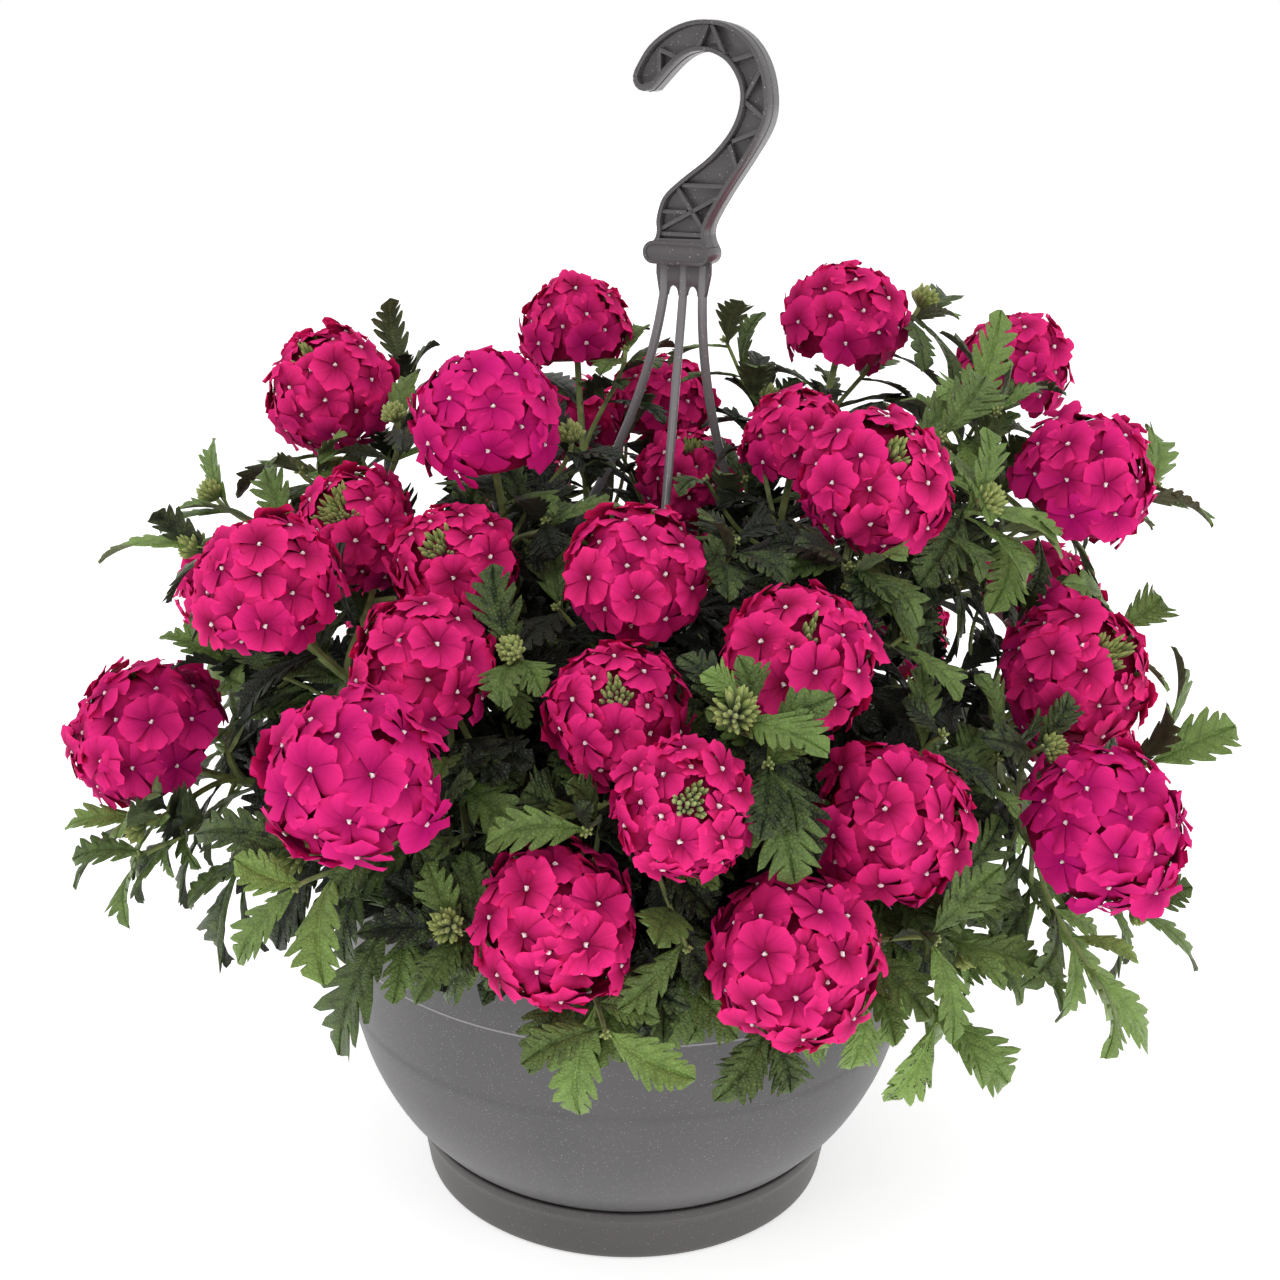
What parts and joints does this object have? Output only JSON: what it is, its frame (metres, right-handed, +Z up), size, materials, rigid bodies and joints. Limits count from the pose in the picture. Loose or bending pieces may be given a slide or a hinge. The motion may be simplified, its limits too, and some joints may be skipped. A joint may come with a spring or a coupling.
{
  "type": "verbena in a hanging pot",
  "caption": "Trailing verbena with rounded magenta flower heads, toothed leaves and square stems, in a hanging bowl on a clip-on saucer with a legged hook hanger.",
  "frame": {"origin": "centre of the saucer's underside", "axes": "+Z up along the pot's axis, -Y the front of the plant, +X to the viewer's right"},
  "size_m": [0.4688, 0.4055, 0.4826],
  "materials": {
    "bowl_plastic": "satin grey injection-moulded polypropylene with fine pale metallic flecks",
    "saucer_plastic": "satin dark grey moulded polypropylene",
    "hanger_plastic": "semi-matt charcoal moulded polypropylene, lighter on the thin legs",
    "growing_medium": "dark crumbly peat with fibres",
    "foliage": "green, slightly hairy leaves and stems with a soft waxy sheen",
    "petals": "velvety magenta pink petals, darker and redder towards the throat"
  },
  "bodies": {
    "root": {"bowl": "bowl_plastic", "saucer": "saucer_plastic", "hanger": "hanger_plastic", "growing_medium": "growing_medium", "shoot_crown_left": "foliage", "shoot_crown_mid_left": "foliage", "shoot_crown_back_left": "foliage", "shoot_crown_back": "foliage", "shoot_crown_back_right": "foliage", "shoot_crown_right": "foliage", "shoot_middle_right": "foliage", "shoot_left_upper": "foliage", "shoot_left_middle": "foliage", "shoot_middle": "foliage", "shoot_middle_front": "foliage", "shoot_middle_front_right": "foliage", "shoot_right_middle": "foliage", "shoot_left_far": "foliage", "shoot_left_front": "foliage", "shoot_front_left": "foliage", "shoot_front_middle": "foliage", "shoot_front_right": "foliage", "shoot_back_left": "foliage", "shoot_back_right": "foliage", "shoot_back_middle": "foliage", "shoot_side_right": "foliage", "flower_head_01": "petals", "flower_head_02": "petals", "flower_head_03": "petals", "flower_head_04": "petals", "flower_head_05": "petals", "flower_head_06": "petals", "flower_head_07": "petals", "flower_head_08": "petals", "flower_head_09": "petals", "flower_head_10": "petals", "flower_head_11": "petals", "flower_head_12": "petals", "flower_head_13": "petals", "flower_head_14": "petals", "flower_head_15": "petals", "flower_head_16": "petals", "flower_head_17": "petals", "flower_head_18": "petals", "flower_head_19": "petals", "flower_head_20": "petals", "flower_head_21": "petals", "flower_head_22": "petals", "flower_head_23": "petals", "flower_head_24": "petals", "flower_head_25": "petals", "flower_head_26": "petals", "flower_head_27": "petals", "flower_head_28": "petals", "flower_head_29": "petals", "flower_head_30": "petals", "flower_head_31": "petals", "flower_head_32": "petals", "flower_head_33": "petals", "flower_head_34": "petals"}
  },
  "joints": []
}
